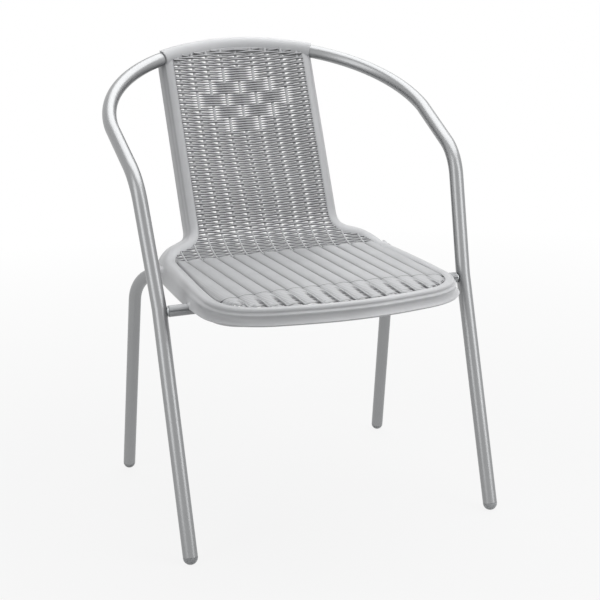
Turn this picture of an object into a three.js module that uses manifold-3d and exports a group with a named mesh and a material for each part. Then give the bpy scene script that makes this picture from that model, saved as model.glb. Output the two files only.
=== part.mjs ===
import * as THREE from 'three';
import { mergeVertices } from 'three/addons/utils/BufferGeometryUtils.js';
import Module from 'manifold-3d';

// A stacking armchair: a bent front hoop, a bent rear frame and one moulded shell.
// Millimetres, +Z up, the sitter looks along -Y, floor at z = 0.

// Clearances
const gap = 0.3;
const overrun = 3;

// Front hoop: legs, arms and rear bow in one tube
const hoopRadius = 11;
const hoopWall = 1.5;
const frontFootX = 244;
const frontFootY = -205;
const kinkX = 245.7;
const kinkY = -106.1;
const kinkZ = 361;
const kinkRadius = 60;
const kneeX = 256.6;
const kneeY = -56.8;
const kneeZ = 542.8;
const kneeRadius = 80;
const bowHalfWidth = 260.6;
const bowStartY = 61.4;
const bowRise = 104.5;
const crownBehindShell = 28.4;
const crownBelowShell = 0.6;

// Rear frame: rear legs, rails and front cross bar in one tube
const rearRadius = 10;
const rearWall = 1.5;
const rearFootX = 234.6;
const rearFootY = 220.3;
const rearCornerX = 223.7;
const rearCornerY = 120.5;
const rearCornerZ = 380.3;
const rearBendRadius = 66;
const joggleX = 177;
const joggleY = 58;
const joggleZ = 364;
const joggleRadius = 50;
const railBoltX = 177;
const railBoltZ = 355.4;
const crossBarY = -190;
const crossBendRadius = 45;

// Side joints between hoop and rail
const spacerRadius = 8.5;
const fluteWidth = 2.6;
const fluteDepth = 1.8;
const fluteCount = 4;
const boltRadius = 3;
const boltHeadAcross = 10;
const boltHeadHeight = 4;
const washerRadius = 6.5;
const washerThickness = 1.2;
const rivetRadius = 4.4;
const rivetLength = 9;
const rivetFlangeRadius = 6.4;
const rivetFlangeThickness = 1;
const boltPastRivet = 4;

// Foot caps
const capFlatDepth = 0.6;
const capPlugLength = 20;
const capChamfer = 1;

// Shell surface: seat plane, bend and leaning back
const seatZ = 385;
const seatBackCornerY = 115.8;
const backLeanDegrees = 21.9;
const seatBendRadius = 85;
const midSag = 20;
const topSag = 15;
const sideDrop = 8;

// Shell outline, flattened: half widths, and lengths along the surface from the seat bend
const topHeight = 391.3;
const topBow = 14.5;
const topCornerRadius = 9;
const backHalfWidth = 112.7;
const waistHeight = 59.3;
const waistRadius = 33;
const hipHalfWidth = 168.7;
const hipHeight = 39.2;
const hipRadius = 25;
const seatHalfWidth = 179;
const bulgeShare = 0.6;
const bulgeRoundShare = 0.4;
const frontCornerHalfWidth = 178.5;
const frontCornerReach = 275.8;
const frontCornerRoundShare = 0.56;
const frontBow = 44.7;

// Rim round the shell
const shellWall = 3;
const rimLip = 2.2;
const sideRimWidth = 30;
const frontRimWidth = 21.6;
const backRimWidth = 20.8;
const skirtDepth = 24.6;
const backReturnDepth = 27;
const topLapWidth = 9.5;
const topLapDepth = 5;
const rimBlendLength = 24;

// Sleeve of the shell over the rear bow
const sleeveWall = 2.5;
const sleeveHalfWidth = 131;
const sleeveSlotFront = 5;
const sleeveSlotBack = 8;

// Bosses and screws
const bossRadius = 7;
const screwRadius = 2.2;
const screwHeadRadius = 4.5;
const screwHeadHeight = 2.4;
const screwBite = 8;
const rearScrewY = -30;
const frontScrewX = 70;
const sleeveScrewX = 75;

// Faceting
const tubeSides = 12;
const roundSides = 14;

const wasm = await Module();
wasm.setup();

const materials = {
  silver: { color: 0xb9babc, roughness: 0.35, metalness: 0.8 },
  plastic: { color: 0xc4c5c6, roughness: 0.5, metalness: 0 },
  cap: { color: 0x9a9b9d, roughness: 0.6, metalness: 0 },
  zinc: { color: 0xd0d2d4, roughness: 0.3, metalness: 1 },
};

const chair = new THREE.Group();

function addPiece(name, geometry, look) {
  const mesh = new THREE.Mesh(geometry, new THREE.MeshStandardMaterial(materials[look]));
  mesh.name = name;
  chair.add(mesh);
}

// Solids and plain geometry
function toSolid(geometry) {
  const bare = geometry.clone();
  bare.deleteAttribute('normal');
  bare.deleteAttribute('uv');
  const merged = mergeVertices(bare);
  return new wasm.Manifold(new wasm.Mesh({
    numProp: 3,
    vertProperties: new Float32Array(merged.attributes.position.array),
    triVerts: new Uint32Array(merged.index.array),
  }));
}

function toGeometry(solid) {
  const mesh = solid.getMesh();
  const geometry = new THREE.BufferGeometry();
  geometry.setAttribute('position', new THREE.BufferAttribute(new Float32Array(mesh.vertProperties), 3));
  geometry.setIndex(new THREE.BufferAttribute(new Uint32Array(mesh.triVerts), 1));
  geometry.computeVertexNormals();
  return geometry;
}

// A cylinder between two points
function rod(from, to, radius, sides = roundSides) {
  const axis = to.clone().sub(from);
  const geometry = new THREE.CylinderGeometry(radius, radius, axis.length(), sides);
  const turn = new THREE.Quaternion().setFromUnitVectors(new THREE.Vector3(0, 1, 0), axis.normalize());
  geometry.applyQuaternion(turn);
  const middle = from.clone().add(to).multiplyScalar(0.5);
  return geometry.translate(middle.x, middle.y, middle.z);
}

// A lathe profile of [radius, height] pairs, its axis laid along a direction from a point
function turned(profile, origin, direction, sides = roundSides) {
  const points = profile.map(([radius, height]) => new THREE.Vector2(radius, height));
  const geometry = new THREE.LatheGeometry(points, sides);
  const turn = new THREE.Quaternion().setFromUnitVectors(new THREE.Vector3(0, 1, 0), direction);
  return geometry.applyQuaternion(turn).translate(origin.x, origin.y, origin.z);
}

function mirrored(point) {
  return new THREE.Vector3(-point.x, point.y, point.z);
}

function lerp(a, b, share) {
  return a + (b - a) * share;
}

function smooth(share) {
  const t = Math.min(1, Math.max(0, share));
  return t * t * (3 - 2 * t);
}

// A curve through listed stations, so that bends are dense and straights are sparse
class StationCurve extends THREE.Curve {
  constructor(stations) {
    super();
    this.stations = stations;
  }

  getPoint(t) {
    const last = this.stations.length - 1;
    const place = Math.min(last, Math.max(0, t * last));
    const index = Math.min(last - 1, Math.floor(place + 1e-9));
    return this.stations[index].clone().lerp(this.stations[index + 1], place - index);
  }

  getPointAt(u) {
    return this.getPoint(u);
  }

  getTangent(t) {
    const last = this.stations.length - 1;
    const index = Math.round(t * last);
    const before = this.stations[Math.max(0, index - 1)];
    const here = this.stations[index];
    const after = this.stations[Math.min(last, index + 1)];
    const tangent = new THREE.Vector3();
    if (index > 0) tangent.add(here.clone().sub(before).normalize());
    if (index < last) tangent.add(after.clone().sub(here).normalize());
    return tangent.normalize();
  }

  getTangentAt(u) {
    return this.getTangent(u);
  }
}

// Points of a round bend of the given radius at a corner between two straights
function bend(before, corner, after, radius, steps) {
  const back = before.clone().sub(corner).normalize();
  const ahead = after.clone().sub(corner).normalize();
  const halfAngle = back.angleTo(ahead) / 2;
  const centre = back.clone().add(ahead).normalize().multiplyScalar(radius / Math.sin(halfAngle)).add(corner);
  const start = back.multiplyScalar(radius / Math.tan(halfAngle)).add(corner).sub(centre);
  const end = ahead.multiplyScalar(radius / Math.tan(halfAngle)).add(corner).sub(centre);
  const sweep = start.angleTo(end);
  const points = [];
  for (let i = 0; i <= steps; i += 1) {
    const a = Math.sin(sweep * (1 - i / steps)) / Math.sin(sweep);
    const b = Math.sin(sweep * (i / steps)) / Math.sin(sweep);
    points.push(start.clone().multiplyScalar(a).addScaledVector(end, b).add(centre));
  }
  return points;
}

function tube(stations, radius, wall) {
  const section = new THREE.Shape();
  section.absarc(0, 0, radius, 0, 2 * Math.PI, false);
  if (wall > 0) {
    const bore = new THREE.Path();
    bore.absarc(0, 0, radius - wall, 0, 2 * Math.PI, true);
    section.holes.push(bore);
  }
  return new THREE.ExtrudeGeometry(section, {
    steps: stations.length - 1,
    extrudePath: new StationCurve(stations),
    curveSegments: tubeSides / 2,
    bevelEnabled: false,
  });
}

// A closed loft: one flat section, in the station's own side and up directions, at each station
function loft(stations, section) {
  const positions = [];
  const index = [];
  const count = section.length;
  for (const { point, side, up } of stations) {
    for (const [across, above] of section) {
      const p = point.clone().addScaledVector(side, across).addScaledVector(up, above);
      positions.push(p.x, p.y, p.z);
    }
  }
  for (let s = 0; s < stations.length - 1; s += 1) {
    for (let i = 0; i < count; i += 1) {
      const a = s * count + i;
      const b = s * count + (i + 1) % count;
      index.push(a, b, b + count, a, b + count, a + count);
    }
  }
  const flat = section.map(([across, above]) => new THREE.Vector2(across, above));
  const last = (stations.length - 1) * count;
  for (const [a, b, c] of THREE.ShapeUtils.triangulateShape(flat, [])) {
    index.push(a, c, b, last + a, last + b, last + c);
  }
  const geometry = new THREE.BufferGeometry();
  geometry.setAttribute('position', new THREE.Float32BufferAttribute(positions, 3));
  geometry.setIndex(index);
  return geometry;
}

// Shell profile through the middle: seat plane, bend, straight back
const backAngle = THREE.MathUtils.degToRad(90 - backLeanDegrees);
const bendFrontY = seatBackCornerY - seatBendRadius * Math.tan(backAngle / 2);
const bendLength = seatBendRadius * backAngle;
const frontReach = frontCornerReach + frontBow;

function profileAngle(v) {
  return Math.min(backAngle, Math.max(0, v / seatBendRadius));
}

function profilePoint(v) {
  const angle = profileAngle(v);
  const straight = v - angle * seatBendRadius;
  return new THREE.Vector3(
    0,
    bendFrontY + seatBendRadius * Math.sin(angle) + straight * Math.cos(angle),
    seatZ + seatBendRadius * (1 - Math.cos(angle)) + straight * Math.sin(angle),
  );
}

// The crown of the bow lies behind the top edge of the shell
const shellTop = profilePoint(topHeight);
const crownZ = shellTop.z - crownBelowShell;
const bowDepth = shellTop.y + crownBehindShell - bowStartY;

// Hoop route
const frontFloor = new THREE.Vector3(frontFootX, frontFootY, 0);
const kink = new THREE.Vector3(kinkX, kinkY, kinkZ);
const knee = new THREE.Vector3(kneeX, kneeY, kneeZ);
const frontLegUp = kink.clone().sub(frontFloor).normalize();

function bowPoint(angle) {
  return new THREE.Vector3(
    bowHalfWidth * Math.sin(angle),
    bowStartY + bowDepth * Math.cos(angle),
    crownZ - bowRise * (1 - Math.cos(angle)),
  );
}

// The cap's flat stands on the floor, so the centre of its dome is a little lower than its radius
function footCentre(floorPoint, up, radius) {
  return floorPoint.clone().addScaledVector(up, (radius - capFlatDepth) / up.z);
}

const frontCapCentre = footCentre(frontFloor, frontLegUp, hoopRadius);

function hoopStations() {
  const bowSteps = 12;
  const bow = [];
  for (let i = 0; i <= bowSteps; i += 1) bow.push(bowPoint((Math.PI / 2) * (1 - i / bowSteps)));
  const kneeBend = bend(kink, knee, bow[0], kneeRadius, 6);
  const half = [
    frontCapCentre.clone().addScaledVector(frontLegUp, gap),
    ...bend(frontFloor, kink, kneeBend[0], kinkRadius, 2),
    ...kneeBend,
    ...bow,
  ];
  const otherHalf = half.slice(0, -1).reverse().map(mirrored);
  return [...half, ...otherHalf];
}

// Rear frame route
const rearFloor = new THREE.Vector3(rearFootX, rearFootY, 0);
const rearCorner = new THREE.Vector3(rearCornerX, rearCornerY, rearCornerZ);
const rearLegUp = rearCorner.clone().sub(rearFloor).normalize();
const rearCapCentre = footCentre(rearFloor, rearLegUp, rearRadius);

// The side bolt crosses the axis of the front leg at the height of the rail
const boltAxis = frontFloor.clone().addScaledVector(frontLegUp, railBoltZ / frontLegUp.z);
const railBolt = new THREE.Vector3(railBoltX, boltAxis.y, railBoltZ);

// From its rear bend the rail runs inwards to the joggle, then ahead past the side bolt
const joggle = new THREE.Vector3(joggleX, joggleY, joggleZ);

function railAt(y) {
  return joggle.clone().lerp(railBolt, (joggleY - y) / (joggleY - railBolt.y));
}

const crossCorner = railAt(crossBarY);

function rearStations() {
  const half = [
    rearCapCentre.clone().addScaledVector(rearLegUp, gap),
    ...bend(rearFloor, rearCorner, joggle, rearBendRadius, 8),
    ...bend(rearCorner, joggle, railBolt, joggleRadius, 3),
    ...bend(joggle, crossCorner, mirrored(crossCorner), crossBendRadius, 7),
  ];
  return [...half, ...half.slice().reverse().map(mirrored)];
}

// The back is hollowed across its width; the seat's sides fall away towards the front
function surfaceRise(x, v) {
  const across = Math.min(1, Math.abs(x) / backHalfWidth);
  const sagGrows = smooth((v - bendLength) / (topHeight / 2 - bendLength / 2));
  const sagFades = smooth((v - topHeight / 2) / (topHeight / 2));
  const sag = sagGrows * lerp(midSag, topSag, sagFades) * (1 - across ** 2);
  const towardsSide = Math.min(1, Math.abs(x) / seatHalfWidth);
  const drop = sideDrop * Math.max(0, -v / frontReach) * towardsSide ** 4;
  return -sag - drop;
}

// A place x across and v along the shell gives a point, raised by h along the normal
function shellPoint(x, v, h) {
  const angle = profileAngle(v);
  const normal = new THREE.Vector3(0, -Math.sin(angle), Math.cos(angle));
  return profilePoint(v).setX(x).addScaledVector(normal, h + surfaceRise(x, v));
}

// Outline of the woven field, right half: pieces of curve from top centre to front centre
function cornerCurve(before, corner, after, reach) {
  const start = corner.clone().add(before.clone().sub(corner).setLength(reach));
  const end = corner.clone().add(after.clone().sub(corner).setLength(reach));
  return new THREE.QuadraticBezierCurve(start, corner, end);
}

function sampled(curve, steps, from = 0, to = 1) {
  const points = [];
  for (let i = 0; i <= steps; i += 1) points.push(curve.getPoint(lerp(from, to, i / steps)));
  return points;
}

function outlineSides() {
  const topCentre = new THREE.Vector2(0, topHeight);
  const topCorner = new THREE.Vector2(backHalfWidth, topHeight - topBow);
  const waist = new THREE.Vector2(backHalfWidth, waistHeight);
  const hip = new THREE.Vector2(hipHalfWidth, hipHeight);
  const bulge = new THREE.Vector2(seatHalfWidth, -bulgeShare * frontCornerReach);
  const frontCorner = new THREE.Vector2(frontCornerHalfWidth, -frontCornerReach);
  const frontCentre = new THREE.Vector2(0, -frontReach);
  const topCurve = cornerCurve(new THREE.Vector2(0, topHeight - topBow), topCorner, waist, topCornerRadius);
  const waistCurve = cornerCurve(topCorner, waist, hip, waistRadius);
  const hipCurve = cornerCurve(waist, hip, bulge, hipRadius);
  const sideLength = bulge.distanceTo(frontCorner);
  const bulgeCurve = cornerCurve(hip, bulge, frontCorner, bulgeRoundShare * sideLength);
  const acrossFront = new THREE.Vector2(0, -frontCornerReach);
  const frontCurve = cornerCurve(bulge, frontCorner, acrossFront, frontCornerRoundShare * sideLength);
  const topEnd = topCurve.getPoint(0);
  const frontStart = frontCurve.getPoint(1);
  topEnd.y = lerp(topHeight, topHeight - topBow, (topEnd.x / backHalfWidth) ** 2);
  topCurve.v0.copy(topEnd);
  const topEdge = new THREE.QuadraticBezierCurve(topCentre, new THREE.Vector2(topEnd.x / 2, topHeight), topEnd);
  frontStart.y = lerp(-frontReach, -frontCornerReach, (frontStart.x / frontCornerHalfWidth) ** 2);
  frontCurve.v2.copy(frontStart);
  const frontMiddle = new THREE.Vector2(frontStart.x / 2, -frontReach);
  const frontEdge = new THREE.QuadraticBezierCurve(frontStart, frontMiddle, frontCentre);
  const straight = (from, to, steps) => sampled(new THREE.LineCurve(from, to), steps);
  const top = [...sampled(topEdge, 5), ...sampled(topCurve, 1, 0, 0.5).slice(1)];
  const side = [
    ...sampled(topCurve, 1, 0.5, 1),
    ...straight(topCurve.v2, waistCurve.v0, 8).slice(1),
    ...sampled(waistCurve, 5).slice(1),
    ...sampled(hipCurve, 4).slice(1),
    ...straight(hipCurve.v2, bulgeCurve.v0, 4).slice(1),
    ...sampled(bulgeCurve, 3).slice(1),
    ...straight(bulgeCurve.v2, frontCurve.v0, 2).slice(1),
    ...sampled(frontCurve, 2, 0, 0.5).slice(1),
  ];
  const front = [...sampled(frontCurve, 2, 0.5, 1), ...sampled(frontEdge, 4).slice(1)];
  return { top, side, front };
}

// The rim's section, row by row: shares of its width, depth and lip along sides, front and back
const sideWidthShares = [0.15, 0.3, 0.46, 0.62, 0.78, 1];
const sideDepthShares = [0, 0, 0.03, 0.2, 0.52, 1];
const frontWidthShares = [0.2, 0.41, 0.68, 0.88, 0.95, 1];
const frontDepthShares = [0, 0, 0.03, 0.2, 0.55, 1];
const backWidthShares = [0.15, 0.38, 0.62, 0.84, 0.97, 1];
const backDepthShares = [0, 0, 0.04, 0.17, 0.45, 1];
const lipShares = [0.7, 1, 0.6, 0, 0, 0];

// Where a point of the outline lies: on the back, towards the front, on the top edge
function rimPlace(v, alongTop) {
  return {
    back: smooth((v - hipHeight) / (waistHeight + waistRadius - hipHeight)),
    front: Math.max(0, -v / frontReach) ** 2,
    top: alongTop,
  };
}

function rimOffset(place, row) {
  const seatWidth = lerp(sideRimWidth * sideWidthShares[row], frontRimWidth * frontWidthShares[row], place.front);
  const seatDepth = skirtDepth * lerp(sideDepthShares[row], frontDepthShares[row], place.front);
  const width = lerp(seatWidth, backRimWidth * backWidthShares[row], place.back);
  const depth = lerp(seatDepth, backReturnDepth * backDepthShares[row], place.back);
  const topDepth = topLapDepth * backWidthShares[row];
  return {
    out: lerp(width, topLapWidth * backWidthShares[row], place.top),
    rise: lerp(rimLip * lipShares[row] - depth, -topDepth, place.top),
  };
}

// Rings of surface points: the border of the woven field, then the rim rows outside it
function shellRings(half) {
  const top = half.top;
  const right = [...top, ...half.side.slice(1), ...half.front.slice(1)];
  const left = right.slice(1, -1).reverse().map((p) => new THREE.Vector2(-p.x, p.y));
  const border = [...right, ...left];
  const count = border.length;
  const topEnd = top[top.length - 1];
  const rings = [border.map((p) => shellPoint(p.x, p.y, 0))];
  const outward = border.map((p, i) => {
    const before = border[(i + count - 1) % count];
    const after = border[(i + 1) % count];
    return new THREE.Vector2(before.y - after.y, after.x - before.x).normalize();
  });
  for (let row = 0; row < lipShares.length; row += 1) {
    rings.push(border.map((p, i) => {
      const onTop = p.y > topEnd.y - topCornerRadius ? (topEnd.x - Math.abs(p.x)) / rimBlendLength : 0;
      const offset = rimOffset(rimPlace(p.y, smooth(onTop)), row);
      const x = p.x + outward[i].x * offset.out;
      const v = p.y + outward[i].y * offset.out;
      const edgeRise = surfaceRise(p.x, p.y) - surfaceRise(x, v);
      return shellPoint(x, v, offset.rise + edgeRise);
    }));
  }
  return rings;
}

// The woven field: a patch blended between its four sides
function fieldPoint(sides, u, s, column, row) {
  const { top, side, front } = sides;
  const widthSteps = top.length - 1;
  const place = (column - widthSteps) / widthSteps;
  const sign = Math.sign(place) || 1;
  const topAt = top[Math.abs(column - widthSteps)];
  const frontAt = front[front.length - 1 - Math.abs(column - widthSteps)];
  const sideAt = side[row];
  const across = 2 * u - 1;
  const first = side[0];
  const last = side[side.length - 1];
  const x = sign * (1 - s) * topAt.x + sign * s * frontAt.x + across * sideAt.x
    - across * ((1 - s) * first.x + s * last.x);
  const v = (1 - s) * topAt.y + s * frontAt.y + sideAt.y - (1 - s) * first.y - s * last.y;
  return shellPoint(x, v, 0);
}

function shellBody() {
  const sides = outlineSides();
  const rings = shellRings(sides);
  const ringCount = rings[0].length;
  const widthSteps = sides.top.length - 1;
  const columns = 2 * widthSteps;
  const rows = sides.side.length - 1;
  const outer = rings.flat();
  const inside = new Map();
  const vertexAt = (column, row) => {
    if (row === 0) return (column - widthSteps + ringCount) % ringCount;
    if (column === columns) return widthSteps + row;
    if (row === rows) return widthSteps + rows + (columns - column);
    if (column === 0) return ringCount - widthSteps - row;
    return inside.get(row * (columns + 1) + column);
  };
  for (let row = 1; row < rows; row += 1) {
    for (let column = 1; column < columns; column += 1) {
      inside.set(row * (columns + 1) + column, outer.length);
      outer.push(fieldPoint(sides, column / columns, row / rows, column, row));
    }
  }
  const faces = [];
  for (let row = 0; row < rows; row += 1) {
    for (let column = 0; column < columns; column += 1) {
      const a = vertexAt(column, row);
      const b = vertexAt(column + 1, row);
      const c = vertexAt(column + 1, row + 1);
      const d = vertexAt(column, row + 1);
      faces.push([a, d, c], [a, c, b]);
    }
  }
  for (let ring = 0; ring < rings.length - 1; ring += 1) {
    for (let i = 0; i < ringCount; i += 1) {
      const a = ring * ringCount + i;
      const b = ring * ringCount + (i + 1) % ringCount;
      faces.push([a, b, b + ringCount], [a, b + ringCount, a + ringCount]);
    }
  }
  return thickened(outer, faces, ringCount, rings.length - 1);
}

// The outer skin, the same skin moved inwards by the wall, and the edge between them
function thickened(outer, faces, ringCount, lastRing) {
  const normals = outer.map(() => new THREE.Vector3());
  for (const [a, b, c] of faces) {
    const normal = outer[b].clone().sub(outer[a]).cross(outer[c].clone().sub(outer[a]));
    for (const vertex of [a, b, c]) normals[vertex].add(normal);
  }
  const inner = outer.map((p, i) => p.clone().addScaledVector(normals[i].normalize(), -shellWall));
  const count = outer.length;
  const index = [];
  for (const [a, b, c] of faces) index.push(a, b, c, count + a, count + c, count + b);
  for (let i = 0; i < ringCount; i += 1) {
    const a = lastRing * ringCount + i;
    const b = lastRing * ringCount + (i + 1) % ringCount;
    index.push(a, b, count + b, a, count + b, count + a);
  }
  const geometry = new THREE.BufferGeometry();
  const positions = [...outer, ...inner].flatMap((p) => [p.x, p.y, p.z]);
  geometry.setAttribute('position', new THREE.Float32BufferAttribute(positions, 3));
  geometry.setIndex(index);
  return geometry;
}

// Stations along the rear bow from left to right, with directions behind and up the back
function bowStations(halfWidth, steps) {
  const backNormal = new THREE.Vector3(0, -Math.sin(backAngle), Math.cos(backAngle));
  const limit = Math.asin(halfWidth / bowHalfWidth);
  const stations = [];
  for (let i = 0; i <= steps; i += 1) {
    const angle = lerp(-limit, limit, i / steps);
    const tangent = new THREE.Vector3(
      bowHalfWidth * Math.cos(angle),
      -bowDepth * Math.sin(angle),
      -bowRise * Math.sin(angle),
    ).normalize();
    const side = backNormal.clone().addScaledVector(tangent, -backNormal.dot(tangent)).normalize();
    stations.push({ point: bowPoint(angle), side, up: new THREE.Vector3().crossVectors(side, tangent).negate() });
  }
  return stations;
}

function circleSection(radius, sides) {
  const section = [];
  for (let i = 0; i < sides; i += 1) {
    const angle = (2 * Math.PI * i) / sides;
    section.push([radius * Math.cos(angle), radius * Math.sin(angle)]);
  }
  return section;
}

const sleeveRadius = hoopRadius + gap + sleeveWall;

function sleeve() {
  return toSolid(loft(bowStations(sleeveHalfWidth, 12), circleSection(sleeveRadius, roundSides)));
}

// The slot under the bow lets the sleeve be pushed on to it from above
function sleeveSlot() {
  const low = -2 * sleeveRadius;
  const section = [
    [-sleeveSlotBack, low],
    [sleeveSlotFront, low],
    [sleeveSlotFront, 0],
    [-sleeveSlotBack, 0],
  ];
  return toSolid(loft(bowStations(sleeveHalfWidth + overrun, 12), section));
}

// Screw places: rear pair on the rails, front pair on the cross bar, two through the sleeve
const crossZ = crossCorner.z;
const rearScrewPoint = railAt(rearScrewY);
const frontScrewPoint = new THREE.Vector3(frontScrewX, crossBarY, crossZ);
const seatScrewPoints = {
  seat_screw_rear_right: rearScrewPoint,
  seat_screw_rear_left: mirrored(rearScrewPoint),
  seat_screw_front_right: frontScrewPoint,
  seat_screw_front_left: mirrored(frontScrewPoint),
};
const upward = new THREE.Vector3(0, 0, 1);
const rightward = new THREE.Vector3(1, 0, 0);

const sleeveScrewAngle = Math.asin(sleeveScrewX / bowHalfWidth);
const sleeveScrewPoint = bowPoint(sleeveScrewAngle);
const intoBow = new THREE.Vector3(-Math.sin(sleeveScrewAngle), -Math.cos(sleeveScrewAngle), 0);

function along(point, direction, distance) {
  return point.clone().addScaledVector(direction, distance);
}

// A notch open below, for a bar of the given radius that passes through the skirt
function skirtNotch(from, to, radius) {
  const direction = to.clone().sub(from);
  const length = direction.length();
  direction.normalize();
  const side = new THREE.Vector3().crossVectors(upward, direction).normalize();
  const above = new THREE.Vector3().crossVectors(direction, side);
  const shape = new THREE.Shape();
  shape.moveTo(-radius, -skirtDepth);
  shape.lineTo(radius, -skirtDepth);
  shape.lineTo(radius, 0);
  shape.absarc(0, 0, radius, 0, Math.PI, false);
  shape.lineTo(-radius, -skirtDepth);
  const geometry = new THREE.ExtrudeGeometry(shape, { depth: length, bevelEnabled: false, curveSegments: tubeSides / 2 });
  geometry.applyMatrix4(new THREE.Matrix4().makeBasis(side, above, direction).setPosition(from));
  return toSolid(geometry);
}

function seatShell(hoopClearance, railClearance) {
  let solid = toSolid(shellBody()).add(sleeve());
  const undersideZ = seatZ - shellWall;
  for (const point of Object.values(seatScrewPoints)) {
    const foot = along(point, upward, rearRadius + gap);
    const head = new THREE.Vector3(point.x, point.y, undersideZ + shellWall / 2);
    solid = solid.add(toSolid(rod(foot, head, bossRadius)));
    const tip = along(foot, upward, screwBite + gap);
    solid = solid.subtract(toSolid(rod(along(foot, upward, -overrun), tip, screwRadius + gap, tubeSides)));
  }
  solid = solid.subtract(sleeveSlot()).subtract(hoopClearance).subtract(railClearance);
  for (const mirror of [(p) => p, mirrored]) {
    const railNotch = [rearCorner, joggle].map(mirror);
    solid = solid.subtract(skirtNotch(...railNotch, rearRadius + 2 * gap));
    const spacerNotch = [boltAxis, railBolt].map(mirror);
    solid = solid.subtract(skirtNotch(...spacerNotch, spacerRadius + 2 * gap));
    const centre = mirror(sleeveScrewPoint);
    const inward = mirror(intoBow);
    const hole = rod(along(centre, inward, -sleeveRadius - overrun), centre, screwRadius + gap, tubeSides);
    solid = solid.subtract(toSolid(hole));
  }
  return solid;
}

// The bore, widened by the gap, that a tube needs in a piece round it
function clearanceTube(stations, radius) {
  return toSolid(tube(stations, radius + gap, 0));
}

function rodSolid(from, to, radius) {
  return toSolid(rod(from, to, radius, tubeSides));
}

function frontHoop() {
  let solid = toSolid(tube(hoopStations(), hoopRadius, hoopWall));
  for (const mirror of [(p) => p, mirrored]) {
    const outside = mirror(along(boltAxis, rightward, -hoopRadius - overrun));
    solid = solid.subtract(rodSolid(outside, mirror(boltAxis), rivetRadius + gap));
    const centre = mirror(sleeveScrewPoint);
    const inward = mirror(intoBow);
    solid = solid.subtract(rodSolid(along(centre, inward, -hoopRadius - overrun), centre, screwRadius + gap));
  }
  return solid;
}

function rearFrame() {
  let solid = toSolid(tube(rearStations(), rearRadius, rearWall));
  const reach = rearRadius + overrun;
  for (const point of Object.values(seatScrewPoints)) {
    solid = solid.subtract(rodSolid(along(point, upward, -reach), along(point, upward, reach), screwRadius + gap));
  }
  for (const mirror of [(p) => p, mirrored]) {
    const from = mirror(along(railBolt, rightward, -reach));
    const to = mirror(along(railBolt, rightward, reach));
    solid = solid.subtract(rodSolid(from, to, boltRadius + gap));
  }
  return solid;
}

// A foot cap: dome under the tube's end, plug inside it, and a small flat on the floor
function footCap(centre, up, radius, wall) {
  const boreFlatRadius = (radius - wall) * Math.cos(Math.PI / tubeSides);
  const plugRadius = boreFlatRadius - gap;
  const profile = [];
  const domeSteps = 4;
  for (let i = 0; i <= domeSteps; i += 1) {
    const angle = (Math.PI / 2) * (i / domeSteps);
    profile.push([radius * Math.sin(angle), -radius * Math.cos(angle)]);
  }
  profile[0][0] = 0;
  profile.push(
    [plugRadius, 0],
    [plugRadius, capPlugLength - capChamfer],
    [plugRadius - capChamfer, capPlugLength],
    [0, capPlugLength],
  );
  const dome = toSolid(turned(profile, centre, up));
  const belowFloor = new THREE.BoxGeometry(4 * radius, 4 * radius, 2 * radius);
  belowFloor.translate(centre.x, centre.y, -radius);
  return dome.subtract(toSolid(belowFloor));
}

// Side joint: leg, rivet nut, spacer, rail, washer and bolt lie on one line across the chair
const rivetFlangeX = boltAxis.x - hoopRadius - gap;
const spacerOuterX = rivetFlangeX - rivetFlangeThickness - gap;
const washerOuterX = railBoltX - rearRadius - gap;

function onBoltLine(x) {
  return boltAxis.clone().setX(x);
}

function spacer(railClearance) {
  const section = new THREE.Shape();
  const half = Math.asin(fluteWidth / 2 / spacerRadius);
  const inner = spacerRadius - fluteDepth;
  for (let i = 0; i < fluteCount; i += 1) {
    const middle = Math.PI * ((2 * i + 1) / fluteCount);
    const innerHalf = Math.asin(fluteWidth / 2 / inner);
    const start = middle - 2 * Math.PI / fluteCount + half;
    if (i === 0) section.moveTo(spacerRadius * Math.cos(start), spacerRadius * Math.sin(start));
    section.absarc(0, 0, spacerRadius, start, middle - half, false);
    section.lineTo(inner * Math.cos(middle - innerHalf), inner * Math.sin(middle - innerHalf));
    section.lineTo(inner * Math.cos(middle + innerHalf), inner * Math.sin(middle + innerHalf));
    section.lineTo(spacerRadius * Math.cos(middle + half), spacerRadius * Math.sin(middle + half));
  }
  const length = spacerOuterX - railBoltX;
  const geometry = new THREE.ExtrudeGeometry(section, { depth: length, bevelEnabled: false, curveSegments: 2 });
  geometry.rotateY(Math.PI / 2).translate(railBoltX, boltAxis.y, boltAxis.z);
  const bore = rodSolid(onBoltLine(railBoltX - overrun), onBoltLine(spacerOuterX + overrun), boltRadius + gap);
  return toSolid(geometry).subtract(railClearance).subtract(bore);
}

function rivetNut() {
  const bore = boltRadius + gap;
  const profile = [
    [bore, 0],
    [bore, rivetLength],
    [rivetRadius, rivetLength],
    [rivetRadius, rivetFlangeThickness],
    [rivetFlangeRadius, rivetFlangeThickness],
    [rivetFlangeRadius, 0],
    [bore, 0],
  ];
  return toSolid(turned(profile.reverse(), onBoltLine(rivetFlangeX - rivetFlangeThickness), rightward));
}

function boltWasher() {
  const bore = boltRadius + gap;
  const profile = [
    [bore, 0],
    [washerRadius, 0],
    [washerRadius, washerThickness],
    [bore, washerThickness],
    [bore, 0],
  ];
  return toSolid(turned(profile, onBoltLine(washerOuterX - washerThickness), rightward));
}

function sideBolt() {
  const headTop = washerOuterX - washerThickness - gap;
  const tip = rivetFlangeX + rivetLength + boltPastRivet;
  const corner = boltHeadAcross / 2 / Math.cos(Math.PI / 6);
  const head = rod(onBoltLine(headTop - boltHeadHeight), onBoltLine(headTop), corner, 6);
  const shank = rod(onBoltLine(headTop - boltHeadHeight / 2), onBoltLine(tip), boltRadius, tubeSides);
  return toSolid(head).add(toSolid(shank));
}

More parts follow.
